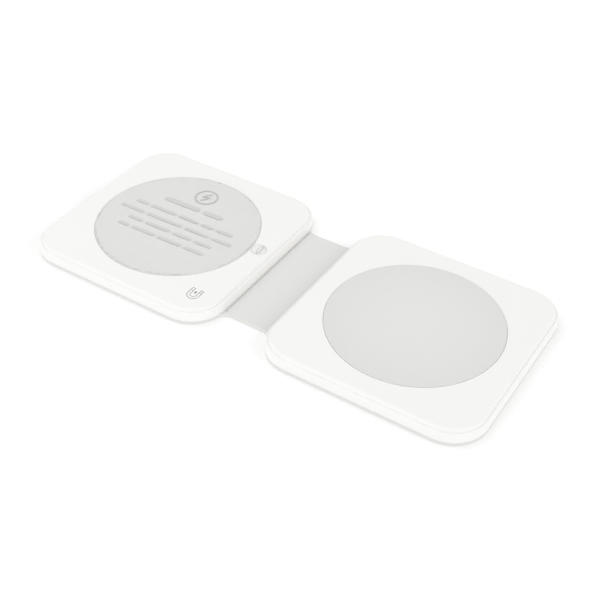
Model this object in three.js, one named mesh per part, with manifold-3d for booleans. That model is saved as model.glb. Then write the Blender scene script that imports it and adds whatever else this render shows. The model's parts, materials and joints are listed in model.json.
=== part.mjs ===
// Folding wireless charging pad: two square pads joined by a soft, flat neck.
// Millimetres, +Z up, +X along the neck from the phone pad to the second pad,
// origin on the table under the middle of the neck.
import * as THREE from "three";
import { mergeVertices } from "three/addons/utils/BufferGeometryUtils.js";
import Module from "manifold-3d";

const wasm = await Module();
wasm.setup();

// ---- driving dimensions -------------------------------------------------
const PAD = 72.8; // side of each square pad, over the skin
const CORNER = 12; // corner radius of the skin's outline
const GAP = 17.6; // distance between the two pads
const PAD_X = (PAD + GAP) / 2; // pad centre from the middle of the neck
const HALF = PAD / 2;

const SKIN_T = 1.2; // soft skin: thickness at the rim and in the neck
const SKIN_FLOOR = 0.5; // skin under the bottom plate
const SKIN_RIM = 2.2; // width of the skin's raised rim
const SKIN_EDGE = 0.18; // small bevel along the skin's edges

const NECK_W = 50;
const NECK_FILLET = 4; // concave blend between neck and pad corner
const NECK_Z = SKIN_T / 2; // height of the bending lines
const HINGE_X = 4.7; // bending lines, either side of the neck's middle
const HINGE_CUT = 0.75; // neck cut back on each side of a bending line

const FRAME_IN = 0.3; // side frame set in from the skin's edge
const FRAME_WALL = 1.7;
const FRAME_TOP = 4.05;
const SHOULDER_R = 0.65;
const LEDGE_Z = 4.0; // the top cover rests here
const SEAM_IN = 1.0; // fine seam between frame and cover
const COVER_IN = 1.05;
const COVER_R = 0.9; // rounding of the top cover's edge
const COVER_HEEL = 0.5; // flat foot under the cover's edge
const COVER_TOP = 5.0;
const ROOF_Z = 4.1; // underside of the top cover

const DISC_R = 28; // soft disc
const DISC_SEAT = 4.6; // floor of the disc's recess
const DISC_TOP = 5.2;
const DISC_GAP = 0.08;
const DISC_EDGE = 0.22;
const FILM_T = 0.1; // clear film on the phone pad's disc
const FILM_R = 27.75;
const TAB_R = 2.7;
const TAB_AT = [30.8, 3.2];
const TAB_NECK = 4.8; // the film's width where the tab joins it

const PLATE_IN = 2.4; // bottom plate, set in the skin's tray
const PLATE_TOP = 1.2;
const LIP_IN = 2.15; // raised lip that locates the frame
const LIP_W = 1.2;
const LIP_TOP = 1.45;

const FLEX_W = 12; // flat flexible cable through the neck
const FLEX_LOW = 0.52;
const FLEX_T = 0.16;
const CHANNEL_W = 12.6;
const CHANNEL_T = 0.3;
const FLEX_SLACK = 0.1; // room over the cable under a bottom plate
const SLOT_BEFORE = 0.3; // the plate's slot either side of the cable's turn
const SLOT_AFTER = 0.9;

const BOARD_LOW = 1.5;
const BOARD_T = 0.6;
const BOARD_TOP = BOARD_LOW + BOARD_T;
const BOARD_IN = 2.6;
const BOARD_HOLLOW_R = 27.9;
const BOARD_REACH = 17; // the board ends this far from the pad's centre

// Parts on a board stand at [along the neck, across it] from the pad's centre,
// for a board at the end away from the neck.
const CHIP_H = 0.9;
const MAIN_CHIP = 5; // sides of the square chips
const MAIN_CHIP_AT = [-26, 22];
const POWER_CHIP = 4;
const POWER_CHIP_AT = [-21, 27.5];
const INDUCTOR = 6;
const INDUCTOR_AT = [-25.2, -23.5];
const INDUCTOR_H = 1.8;
const INDUCTOR_CUT = 1;
const CAPACITOR_W = 2.5;
const CAPACITOR_D = 3.2;
const CAPACITOR_H = 1.5;
const CAPACITOR_A_AT = [-31, 16];
const CAPACITOR_B_AT = [-31, -14];
const BEAD_R = 1.3; // temperature sensor under the cover's middle
const BEAD_LOW = 3.2;

const RING_OUT = 27.6; // coil carrier
const RING_IN = 22.2;
const RING_WALL = 0.6;
const RING_LOW = 1.3;
const RING_FLOOR = 1.9;
const WEB_TOP = 2.4;
const RING_TOP = 3.9;
const CARRIER_HOLE_R = 7;
const YOKE_T = 0.3;
const YOKE_SLACK = 0.05; // room to the carrier's walls
const MAGNET_SLACK = 0.1;
const MAGNETS = 10;
const MAGNET_SPAN = 31; // degrees covered by each magnet
const MAGNET_PITCH = 32.5; // the ring stays open on the cable side
const MAGNET_TOP = 3.85;
const BAR_L = 18; // straight magnet below the ring
const BAR_W = 3.8;
const BAR_H = 1.7;
const BAR_Y = -31.3;
const BAR_LOW = 2.1;

const FERRITE_R = 21.9;
const FERRITE_HOLE_R = CARRIER_HOLE_R + 0.6;
const FERRITE_T = 0.5;
const COIL_IN = 9.8;
const COIL_TURNS = 9;
const COIL_PITCH = 1.28;
const COIL_W = 1.0;
const COIL_LOW = 2.95;
const COIL_T = 1.0;

const LEAD_W = 0.9; // flat return lead from the coil's inner end
const LEAD_T = 0.35;
const LEAD_Z = 1.4;
const LEAD_DROP = 6.45; // where it drops through the carrier's hole
const LEAD_OUT = 27.55;
const LEAD_OVER = 3.1; // height at which it reaches over to the coil
const LEAD_GAP = 0.1; // left between the lead and the coil's inner turn

const USB_W = 8.74; // outside of the connector's shell
const USB_H = 2.96;
const USB_WALL = 0.2;
const USB_DEPTH = 6.5;
const USB_Z = 2.28;
const USB_BACK = 0.3; // the shell sits this far inside the mouth
const USB_FRONT = -HALF + FRAME_IN + USB_BACK;
const USB_SLACK = 0.15;
const MOUTH_SLACK = 0.16;
const MOUTH_DEPTH = 4; // cut this far in from the skin's edge
const ROOT_L = 1.6; // block at the back of the tongue
const ROOT_SLACK = 0.05; // room between the block and the shell
const TONGUE_W = 6.69;
const TONGUE_T = 0.7;
const TONGUE_L = 4.45;

const LAMP_W = 0.9; // status lamp, beside the inlet
const LAMP_D = 1.6;
const LAMP_H = 1.1;
const LAMP_X = -31.6;
const LAMP_Y = 9.5;
const LAMP_Z = 2.75; // height of the lamp's light guide
const LAMP_HOLE_R = 0.7;
const GUIDE_R = 0.62;
const GUIDE_L = 3.6;
const GUIDE_IN = 0.05; // the guide ends this far inside the frame's face

const FLEX_BEHIND = 0.45; // the cable turns up this far behind the connector
const PHONE_FLEX_UP = USB_FRONT + USB_DEPTH + FLEX_BEHIND;
const SECOND_FLEX_UP = 30.4;

const CORNER_STEPS = 8;
const ROUND_STEPS = 48;
const DISC_STEPS = 72;
const COIL_STEPS = 26; // per turn
const SMALL_STEPS = 20;
const PAST = 1; // cutting tools run this far past what they cut

// ---- materials ----------------------------------------------------------
function material(hex, roughness, metalness = 0) {
  return new THREE.MeshStandardMaterial({ color: hex, roughness, metalness });
}

const LOOKS = {
  shell: [0xf0efec, 0.42],
  skin: [0xd3d2cf, 0.78],
  disc: [0xd0cfcd, 0.72],
  film: [0xe4e6e6, 0.12],
  plate: [0xd9d8d4, 0.6],
  board: [0x1d5b3a, 0.45],
  chip: [0x1c1d20, 0.5],
  capacitor: [0xb38a5c, 0.4],
  inductor: [0x3a3b3e, 0.55],
  copper: [0xb96a3a, 0.35, 0.9],
  ferrite: [0x3b3a3a, 0.7],
  magnet: [0xc2c3c6, 0.25, 1],
  steel: [0xb4b6b9, 0.3, 1],
  tongue: [0x202124, 0.5],
  flex: [0xb5762c, 0.4],
  lamp: [0xf3f2e4, 0.3],
  guide: [0xe9eef0, 0.1],
  bead: [0x5b5f66, 0.5],
};

// ---- solids -------------------------------------------------------------
function toSolid(geometry) {
  const bare = geometry.index ? geometry.toNonIndexed() : geometry.clone();
  bare.deleteAttribute("normal");
  bare.deleteAttribute("uv");
  const merged = mergeVertices(bare, 1e-4);
  return new wasm.Manifold(
    new wasm.Mesh({
      numProp: 3,
      vertProperties: new Float32Array(merged.attributes.position.array),
      triVerts: new Uint32Array(merged.index.array),
    }),
  );
}

function fromSolid(solid) {
  const mesh = solid.getMesh();
  const geometry = new THREE.BufferGeometry();
  const stride = mesh.numProp;
  const points = new Float32Array((mesh.vertProperties.length / stride) * 3);
  for (let i = 0; i < points.length / 3; i += 1) {
    points.set(mesh.vertProperties.subarray(i * stride, i * stride + 3), i * 3);
  }
  geometry.setAttribute("position", new THREE.BufferAttribute(points, 3));
  geometry.setIndex(new THREE.BufferAttribute(new Uint32Array(mesh.triVerts), 1));
  return geometry;
}

function cut(geometry, ...tools) {
  let solid = toSolid(geometry);
  for (const tool of tools) solid = solid.subtract(toSolid(tool));
  return fromSolid(solid);
}

function join(geometry, ...others) {
  let solid = toSolid(geometry);
  for (const other of others) solid = solid.add(toSolid(other));
  return fromSolid(solid);
}

function common(a, b) {
  return fromSolid(toSolid(a).intersect(toSolid(b)));
}

// ---- basic forms --------------------------------------------------------
function box(x0, x1, y0, y1, z0, z1) {
  const g = new THREE.BoxGeometry(x1 - x0, y1 - y0, z1 - z0);
  return g.translate((x0 + x1) / 2, (y0 + y1) / 2, (z0 + z1) / 2);
}

// A disc or drum standing on z0, with flat ends.
function drum(radius, z0, z1, x = 0, y = 0, steps = ROUND_STEPS) {
  const g = new THREE.CylinderGeometry(radius, radius, z1 - z0, steps);
  return g.rotateX(Math.PI / 2).translate(x, y, (z0 + z1) / 2);
}

// A closed section of [radius, height] points turned about Z.
function turned(section, steps = ROUND_STEPS) {
  const points = section.map(([r, z]) => new THREE.Vector2(r, z));
  return new THREE.LatheGeometry(points, steps).rotateX(Math.PI / 2);
}

function plate(shape, z0, z1, steps = CORNER_STEPS) {
  const g = new THREE.ExtrudeGeometry(shape, {
    depth: z1 - z0,
    bevelEnabled: false,
    curveSegments: steps,
  });
  return g.translate(0, 0, z0);
}

// Points round a square with round corners, set in from the pad's outline.
function outline(inset) {
  const r = CORNER - inset;
  const c = HALF - CORNER;
  const points = [];
  [[1, 1, 0], [-1, 1, 90], [-1, -1, 180], [1, -1, 270]].forEach(([sx, sy, start]) => {
    for (let i = 0; i <= CORNER_STEPS; i += 1) {
      const a = THREE.MathUtils.degToRad(start + (90 * i) / CORNER_STEPS);
      points.push([sx * c + r * Math.cos(a), sy * c + r * Math.sin(a)]);
    }
  });
  return points;
}

function outlineShape(inset) {
  return new THREE.Shape(outline(inset).map(([x, y]) => new THREE.Vector2(x, y)));
}

// A section of [inset, height] points carried round the pad's outline. A
// closed section makes a ring; an open one is capped at both ends.
function carried(section, closed) {
  const rings = section.map(([inset, z]) => outline(inset).map(([x, y]) => [x, y, z]));
  const n = rings[0].length;
  const position = rings.flat(2);
  const index = [];
  const last = closed ? rings.length : rings.length - 1;
  for (let k = 0; k < last; k += 1) {
    const a = k * n;
    const b = ((k + 1) % rings.length) * n;
    for (let i = 0; i < n; i += 1) {
      const j = (i + 1) % n;
      index.push(a + i, a + j, b + j, a + i, b + j, b + i);
    }
  }
  if (!closed) {
    const end = (rings.length - 1) * n;
    const centre = position.length / 3;
    position.push(0, 0, section[0][1], 0, 0, section[section.length - 1][1]);
    for (let i = 0; i < n; i += 1) {
      const j = (i + 1) % n;
      index.push(centre, j, i);
      index.push(centre + 1, end + i, end + j);
    }
  }
  const g = new THREE.BufferGeometry();
  g.setAttribute("position", new THREE.Float32BufferAttribute(position, 3));
  g.setIndex(index);
  return g;
}

// Points of a quarter round in a section, from one angle to another.
function rounded(cx, cz, r, from, to, steps = 4) {
  const points = [];
  for (let i = 0; i <= steps; i += 1) {
    const a = THREE.MathUtils.degToRad(from + ((to - from) * i) / steps);
    points.push([cx + r * Math.cos(a), cz + r * Math.sin(a)]);
  }
  return points;
}

// ---- placing ------------------------------------------------------------
const charger = new THREE.Group();
charger.name = "wireless_charging_pad";

function put(name, geometry, look, place) {
  const g = place ? geometry.applyMatrix4(place) : geometry;
  g.deleteAttribute("uv");
  g.computeVertexNormals();
  const mesh = new THREE.Mesh(g, material(...LOOKS[look]));
  mesh.name = name;
  charger.add(mesh);
}

// Each pad is drawn about its own centre with the neck towards +X. The
// second pad is the same drawing turned half round.
const AT_PHONE = new THREE.Matrix4().makeTranslation(-PAD_X, 0, 0);
const AT_SECOND = new THREE.Matrix4()
  .makeTranslation(PAD_X, 0, 0)
  .multiply(new THREE.Matrix4().makeRotationZ(Math.PI));

// ---- soft skin ----------------------------------------------------------
// Outline of a pad with its half of the neck. The neck's edge runs tangent
// into a concave fillet, and the fillet into the pad's corner.
function skinShape() {
  const c = HALF - CORNER;
  const y = NECK_W / 2;
  const f = NECK_FILLET;
  const rise = y + f - c;
  const fx = c + Math.sqrt((CORNER + f) ** 2 - rise ** 2);
  const meet = Math.atan2(rise, fx - c);
  const neckEnd = HALF + GAP / 2 - HINGE_X - HINGE_CUT;
  const s = new THREE.Shape();
  s.moveTo(neckEnd, -y);
  s.lineTo(neckEnd, y);
  s.lineTo(fx, y);
  s.absarc(fx, y + f, f, -Math.PI / 2, meet - Math.PI, true);
  s.absarc(c, c, CORNER, meet, Math.PI / 2, false);
  s.absarc(-c, c, CORNER, Math.PI / 2, Math.PI, false);
  s.absarc(-c, -c, CORNER, Math.PI, Math.PI * 1.5, false);
  s.absarc(c, -c, CORNER, Math.PI * 1.5, Math.PI * 2 - meet, false);
  s.absarc(fx, -y - f, f, Math.PI - meet, Math.PI / 2, true);
  s.closePath();
  return s;
}

function bevelled(shape, z0, z1, bevel) {
  const g = new THREE.ExtrudeGeometry(shape, {
    depth: z1 - z0 - 2 * bevel,
    bevelEnabled: true,
    bevelThickness: bevel,
    bevelSize: bevel,
    bevelOffset: -bevel,
    bevelSegments: 1,
    curveSegments: CORNER_STEPS,
  });
  return g.translate(0, 0, z0 + bevel);
}

function flexChannel(x0, x1) {
  const low = NECK_Z - CHANNEL_T / 2;
  return box(x0, x1, -CHANNEL_W / 2, CHANNEL_W / 2, low, low + CHANNEL_T);
}

function skin(withInlet) {
  const tray = plate(outlineShape(SKIN_RIM), SKIN_FLOOR, SKIN_T + PAST);
  const tools = [tray, flexChannel(HALF - SKIN_RIM - PAST, HALF + GAP)];
  if (withInlet) tools.push(mouth());
  return cut(bevelled(skinShape(), 0, SKIN_T, SKIN_EDGE), ...tools);
}

function neckBand() {
  const end = HINGE_X - HINGE_CUT;
  const s = new THREE.Shape();
  s.moveTo(-end, -NECK_W / 2);
  s.lineTo(end, -NECK_W / 2);
  s.lineTo(end, NECK_W / 2);
  s.lineTo(-end, NECK_W / 2);
  s.closePath();
  return cut(bevelled(s, 0, SKIN_T, SKIN_EDGE), flexChannel(-GAP, GAP));
}

// ---- hard shell ---------------------------------------------------------
function frame(withInlet) {
  const back = FRAME_IN + FRAME_WALL;
  const section = [
    [back, SKIN_T],
    [FRAME_IN, SKIN_T],
    ...rounded(FRAME_IN + SHOULDER_R, FRAME_TOP - SHOULDER_R, SHOULDER_R, 180, 90),
    [SEAM_IN, FRAME_TOP],
    [SEAM_IN, LEDGE_Z],
    [back, LEDGE_Z],
  ];
  const ring = carried(section, true);
  if (!withInlet) return ring;
  return cut(ring, mouth(), lampHole());
}

function topCover() {
  const section = [
    [COVER_IN + COVER_HEEL, LEDGE_Z],
    [COVER_IN, LEDGE_Z],
    ...rounded(COVER_IN + COVER_R, COVER_TOP - COVER_R, COVER_R, 180, 90),
  ];
  const body = carried(section, false);
  const hollow = plate(outlineShape(FRAME_IN + FRAME_WALL), LEDGE_Z - PAST, ROOF_Z);
  const seat = drum(DISC_R + DISC_GAP, DISC_SEAT, COVER_TOP + PAST, 0, 0, DISC_STEPS);
  return cut(body, hollow, seat);
}

function bottomPlate(withInlet, flexUp) {
  const from = flexUp - SLOT_BEFORE;
  const base = plate(outlineShape(PLATE_IN), SKIN_FLOOR, PLATE_TOP);
  const lip = cut(
    plate(outlineShape(LIP_IN), PLATE_TOP, LIP_TOP),
    plate(outlineShape(LIP_IN + LIP_W), PLATE_TOP - PAST, LIP_TOP + PAST),
  );
  const half = CHANNEL_W / 2;
  const over = FLEX_LOW + FLEX_T + FLEX_SLACK;
  const groove = box(from, HALF, -half, half, SKIN_FLOOR - PAST, over);
  const slot = box(from, flexUp + SLOT_AFTER, -half, half, 0, PLATE_TOP + PAST);
  const tools = [groove, slot];
  if (withInlet) {
    const inner = USB_FRONT + USB_DEPTH + USB_SLACK;
    const side = USB_W / 2 + 2 * USB_SLACK;
    tools.push(box(-HALF - PAST, inner, -side, side, 0, LIP_TOP + PAST));
  }
  return cut(join(base, lip), ...tools);
}

// ---- connector and lamp -------------------------------------------------
// Stadium outline in the Y-Z plane, extruded towards +X from x0.
function stadium(width, height, x0, x1) {
  const r = height / 2;
  const c = width / 2 - r;
  const s = new THREE.Shape();
  s.moveTo(-c, -r);
  s.lineTo(c, -r);
  s.absarc(c, 0, r, -Math.PI / 2, Math.PI / 2, false);
  s.lineTo(-c, r);
  s.absarc(-c, 0, r, Math.PI / 2, Math.PI * 1.5, false);
  s.closePath();
  const g = new THREE.ExtrudeGeometry(s, {
    depth: x1 - x0,
    bevelEnabled: false,
    curveSegments: 8,
  });
  return g.rotateX(Math.PI / 2).rotateZ(Math.PI / 2).translate(x0, 0, USB_Z);
}

function mouth() {
  return stadium(USB_W + MOUTH_SLACK, USB_H + MOUTH_SLACK, -HALF - PAST, -HALF + MOUTH_DEPTH);
}

function lampHole() {
  const length = 2 * (FRAME_IN + FRAME_WALL + PAST);
  const g = new THREE.CylinderGeometry(LAMP_HOLE_R, LAMP_HOLE_R, length, SMALL_STEPS);
  return g.rotateZ(Math.PI / 2).translate(-HALF, LAMP_Y, LAMP_Z);
}

function usbShell() {
  const inner = stadium(USB_W - 2 * USB_WALL, USB_H - 2 * USB_WALL, USB_FRONT - PAST, 0);
  return cut(stadium(USB_W, USB_H, USB_FRONT, USB_FRONT + USB_DEPTH), inner);
}

function usbTongue() {
  const back = USB_FRONT + USB_DEPTH;
  const slack = 2 * (USB_WALL + ROOT_SLACK);
  const root = back - ROOT_L;
  const block = stadium(USB_W - slack, USB_H - slack, root, back);
  const x0 = root - TONGUE_L;
  const z0 = USB_Z - TONGUE_T / 2;
  return join(block, box(x0, root + PAST, -TONGUE_W / 2, TONGUE_W / 2, z0, z0 + TONGUE_T));
}

function lightGuide() {
  const g = new THREE.CylinderGeometry(GUIDE_R, GUIDE_R, GUIDE_L, SMALL_STEPS);
  const middle = -HALF + FRAME_IN + GUIDE_IN + GUIDE_L / 2;
  return g.rotateZ(Math.PI / 2).translate(middle, LAMP_Y, LAMP_Z);
}

// ---- circuit board ------------------------------------------------------
// A board that fills the end of a pad round the coil carrier. toNeck puts it
// at the neck end.
function board(toNeck, withInlet) {
  const s = toNeck ? 1 : -1;
  const x0 = Math.min(s * BOARD_REACH, s * HALF);
  const x1 = Math.max(s * BOARD_REACH, s * HALF);
  const slab = common(
    plate(outlineShape(BOARD_IN), BOARD_LOW, BOARD_TOP),
    box(x0, x1, -HALF, HALF, BOARD_LOW - PAST, BOARD_TOP + PAST),
  );
  const tools = [drum(BOARD_HOLLOW_R, BOARD_LOW - PAST, BOARD_TOP + PAST)];
  if (withInlet) {
    const inner = USB_FRONT + USB_DEPTH + USB_SLACK;
    const side = USB_W / 2 + USB_SLACK;
    tools.push(box(-HALF, inner, -side, side, 0, BOARD_TOP + PAST));
  }
  return cut(slab, ...tools);
}

function onBoard([x, y], w, d, h) {
  return box(x - w / 2, x + w / 2, y - d / 2, y + d / 2, BOARD_TOP, BOARD_TOP + h);
}

// Moulded square power inductor with cut corners.
function inductor([x, y]) {
  const c = INDUCTOR / 2;
  const k = INDUCTOR_CUT;
  const s = new THREE.Shape();
  s.moveTo(-c + k, -c);
  s.lineTo(c - k, -c);
  s.lineTo(c, -c + k);
  s.lineTo(c, c - k);
  s.lineTo(c - k, c);
  s.lineTo(-c + k, c);
  s.lineTo(-c, c - k);
  s.lineTo(-c, -c + k);
  s.closePath();
  return plate(s, BOARD_TOP, BOARD_TOP + INDUCTOR_H).translate(x, y, 0);
}

function capacitor(at) {
  return onBoard(at, CAPACITOR_W, CAPACITOR_D, CAPACITOR_H);
}

function squareChip(at, side) {
  return onBoard(at, side, side, CHIP_H);
}

// The same place on a board at the neck end.
function mirrored([x, y]) {
  return [-x, y];
}

// ---- flexible cable -----------------------------------------------------
// Runs flat at the neck's mid-height, then turns up to the board.
function padFlex(upAt) {
  const end = HALF + GAP / 2 - HINGE_X - HINGE_CUT;
  const run = box(upAt, end, -FLEX_W / 2, FLEX_W / 2, FLEX_LOW, FLEX_LOW + FLEX_T);
  const up = box(upAt, upAt + FLEX_T, -FLEX_W / 2, FLEX_W / 2, FLEX_LOW, BOARD_LOW);
  return join(run, up);
}

function bandFlex() {
  const end = HINGE_X - HINGE_CUT;
  return box(-end, end, -FLEX_W / 2, FLEX_W / 2, FLEX_LOW, FLEX_LOW + FLEX_T);
}

// ---- coil set -----------------------------------------------------------
function carrier() {
  const section = [
    [CARRIER_HOLE_R, RING_FLOOR],
    [RING_IN, RING_FLOOR],
    [RING_IN, RING_LOW],
    [RING_OUT, RING_LOW],
    [RING_OUT, RING_TOP],
    [RING_OUT - RING_WALL, RING_TOP],
    [RING_OUT - RING_WALL, RING_FLOOR],
    [RING_IN + RING_WALL, RING_FLOOR],
    [RING_IN + RING_WALL, RING_TOP],
    [RING_IN, RING_TOP],
    [RING_IN, WEB_TOP],
    [CARRIER_HOLE_R, WEB_TOP],
    [CARRIER_HOLE_R, RING_FLOOR],
  ];
  return cut(turned(section), leadSlot());
}

function ringSection(r0, r1, z0, z1) {
  return [[r0, z0], [r1, z0], [r1, z1], [r0, z1], [r0, z0]];
}

function yoke() {
  const wall = RING_WALL + YOKE_SLACK;
  const z = RING_FLOOR + YOKE_T;
  return turned(ringSection(RING_IN + wall, RING_OUT - wall, RING_FLOOR, z));
}

function magnet(middle) {
  const wall = RING_WALL + MAGNET_SLACK;
  const half = THREE.MathUtils.degToRad(MAGNET_SPAN / 2);
  const mid = THREE.MathUtils.degToRad(middle);
  const s = new THREE.Shape();
  s.absarc(0, 0, RING_OUT - wall, mid - half, mid + half, false);
  s.absarc(0, 0, RING_IN + wall, mid + half, mid - half, true);
  s.closePath();
  return plate(s, RING_FLOOR + YOKE_T, MAGNET_TOP, CORNER_STEPS);
}

function barMagnet() {
  const y = BAR_Y - BAR_W / 2;
  return box(-BAR_L / 2, BAR_L / 2, y, y + BAR_W, BAR_LOW, BAR_LOW + BAR_H);
}

function ferrite() {
  return turned(ringSection(FERRITE_HOLE_R, FERRITE_R, WEB_TOP, WEB_TOP + FERRITE_T));
}

// Flat spiral from the inner end outwards.
class Spiral extends THREE.Curve {
  getPoint(t, target = new THREE.Vector3()) {
    const a = t * COIL_TURNS * Math.PI * 2;
    const r = COIL_IN + (COIL_PITCH * a) / (Math.PI * 2);
    return target.set(r * Math.cos(a), r * Math.sin(a), COIL_LOW + COIL_T / 2);
  }
}

// One strip of wire wound in a flat spiral, drawn as a band between two
// spiral walls.
function coil() {
  const steps = COIL_TURNS * COIL_STEPS;
  const path = new Spiral();
  const position = [];
  for (let i = 0; i <= steps; i += 1) {
    const p = path.getPoint(i / steps);
    const r = Math.hypot(p.x, p.y);
    const across = COIL_W / 2 / r;
    const inX = p.x * (1 - across);
    const inY = p.y * (1 - across);
    const outX = p.x * (1 + across);
    const outY = p.y * (1 + across);
    position.push(inX, inY, COIL_LOW, outX, outY, COIL_LOW);
    position.push(outX, outY, COIL_LOW + COIL_T, inX, inY, COIL_LOW + COIL_T);
  }
  const index = [0, 1, 2, 0, 2, 3];
  for (let i = 0; i < steps; i += 1) {
    for (let k = 0; k < 4; k += 1) {
      const a = i * 4 + k;
      const b = i * 4 + ((k + 1) % 4);
      index.push(a, a + 4, b + 4, a, b + 4, b);
    }
  }
  const e = steps * 4;
  index.push(e, e + 2, e + 1, e, e + 3, e + 2);
  const g = new THREE.BufferGeometry();
  g.setAttribute("position", new THREE.Float32BufferAttribute(position, 3));
  g.setIndex(index);
  return g;
}

// Return lead: down through the middle and out under the carrier's web.
function returnLead(outwards) {
  const half = LEAD_W / 2;
  const drop = LEAD_DROP;
  const top = LEAD_OVER + LEAD_T;
  const run = box(drop, LEAD_OUT, -half, half, LEAD_Z, LEAD_Z + LEAD_T);
  const up = box(drop, drop + LEAD_T, -half, half, LEAD_Z, top);
  const over = box(drop, COIL_IN - COIL_W / 2 - LEAD_GAP, -half, half, LEAD_OVER, top);
  return join(run, up, over).rotateZ(outwards);
}

function leadSlot() {
  return box(RING_IN - PAST, RING_OUT + PAST, -LEAD_W, LEAD_W, RING_LOW - PAST, RING_FLOOR);
}

function thermistor() {
  return drum(BEAD_R, BEAD_LOW, ROOF_Z, 0, 0, SMALL_STEPS);
}

// ---- disc and film ------------------------------------------------------
function softDisc() {
  const round = rounded(DISC_R - DISC_EDGE, DISC_TOP - DISC_EDGE, DISC_EDGE, 0, 90, 3);
  const section = [[0, DISC_SEAT], [DISC_R, DISC_SEAT], ...round, [0, DISC_TOP]];
  return turned(section, DISC_STEPS);
}

function film() {
  const z1 = DISC_TOP + FILM_T;
  const [x, y] = TAB_AT;
  const sheet = drum(FILM_R, DISC_TOP, z1, 0, 0, DISC_STEPS);
  const bridge = box(x - FILM_R / 4, x, y - TAB_NECK / 2, y + TAB_NECK / 2, DISC_TOP, z1);
  return join(sheet, bridge, drum(TAB_R, DISC_TOP, z1, x, y));
}

// ---- phone pad ----------------------------------------------------------
put("phone_skin", skin(true), "skin", AT_PHONE);
put("phone_bottom_plate", bottomPlate(true, PHONE_FLEX_UP), "plate", AT_PHONE);
put("phone_frame", frame(true), "shell", AT_PHONE);
put("phone_top_cover", topCover(), "shell", AT_PHONE);
put("phone_soft_disc", softDisc(), "disc", AT_PHONE);
put("phone_clear_film", film(), "film", AT_PHONE);
put("phone_coil_carrier", carrier().rotateZ(Math.PI), "chip", AT_PHONE);
put("phone_magnet_yoke", yoke(), "steel", AT_PHONE);
for (let i = 0; i < MAGNETS; i += 1) {
  const middle = (i - (MAGNETS - 1) / 2) * MAGNET_PITCH;
  put(`phone_magnet_${String(i + 1).padStart(2, "0")}`, magnet(middle), "magnet", AT_PHONE);
}
put("phone_orientation_magnet", barMagnet(), "magnet", AT_PHONE);
put("phone_ferrite", ferrite(), "ferrite", AT_PHONE);
put("phone_coil", coil(), "copper", AT_PHONE);
put("phone_coil_return_lead", returnLead(Math.PI), "copper", AT_PHONE);
put("phone_thermistor", thermistor(), "bead", AT_PHONE);
put("phone_board", board(false, true), "board", AT_PHONE);
put("phone_control_chip", squareChip(MAIN_CHIP_AT, MAIN_CHIP), "chip", AT_PHONE);
put("phone_power_chip", squareChip(POWER_CHIP_AT, POWER_CHIP), "chip", AT_PHONE);
put("phone_inductor", inductor(INDUCTOR_AT), "inductor", AT_PHONE);
put("phone_capacitor_a", capacitor(CAPACITOR_A_AT), "capacitor", AT_PHONE);
put("phone_capacitor_b", capacitor(CAPACITOR_B_AT), "capacitor", AT_PHONE);
put("phone_usb_c_shell", usbShell(), "steel", AT_PHONE);
put("phone_usb_c_tongue", usbTongue(), "tongue", AT_PHONE);
put("phone_status_lamp", onBoard([LAMP_X, LAMP_Y], LAMP_W, LAMP_D, LAMP_H), "lamp", AT_PHONE);
put("phone_light_guide", lightGuide(), "guide", AT_PHONE);
put("phone_flex_cable", padFlex(PHONE_FLEX_UP), "flex", AT_PHONE);

// ---- neck ---------------------------------------------------------------
put("neck_band", neckBand(), "skin");
put("neck_flex_cable", bandFlex(), "flex");

// ---- second pad ---------------------------------------------------------
put("second_skin", skin(false), "skin", AT_SECOND);
put("second_bottom_plate", bottomPlate(false, SECOND_FLEX_UP), "plate", AT_SECOND);
put("second_frame", frame(false), "shell", AT_SECOND);
put("second_top_cover", topCover(), "shell", AT_SECOND);
put("second_soft_disc", softDisc(), "disc", AT_SECOND);
put("second_coil_carrier", carrier(), "chip", AT_SECOND);
put("second_ferrite", ferrite(), "ferrite", AT_SECOND);
put("second_coil", coil(), "copper", AT_SECOND);
put("second_coil_return_lead", returnLead(0), "copper", AT_SECOND);
put("second_thermistor", thermistor(), "bead", AT_SECOND);
put("second_board", board(true, false), "board", AT_SECOND);
put("second_driver_chip", squareChip(mirrored(MAIN_CHIP_AT), MAIN_CHIP), "chip", AT_SECOND);
put("second_inductor", inductor(mirrored(INDUCTOR_AT)), "inductor", AT_SECOND);
put("second_capacitor", capacitor(mirrored(CAPACITOR_A_AT)), "capacitor", AT_SECOND);
put("second_flex_cable", padFlex(SECOND_FLEX_UP), "flex", AT_SECOND);

export default charger;
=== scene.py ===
"""A folding wireless charging pad: two square pads on one soft skin, lying open on a pale table.

Sizes in the classes below are millimetres in the part's own frame: +X runs along the neck from the
phone pad to the second pad, +Y runs along the bending lines, and +Z is up. Meshes are written in metres.
"""

import json
import logging
import math
from dataclasses import dataclass, field
from enum import Enum
from typing import Any, Callable, Iterable, Optional, Sequence, Union

import bmesh
import bpy
from mathutils import Matrix, Vector


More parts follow.
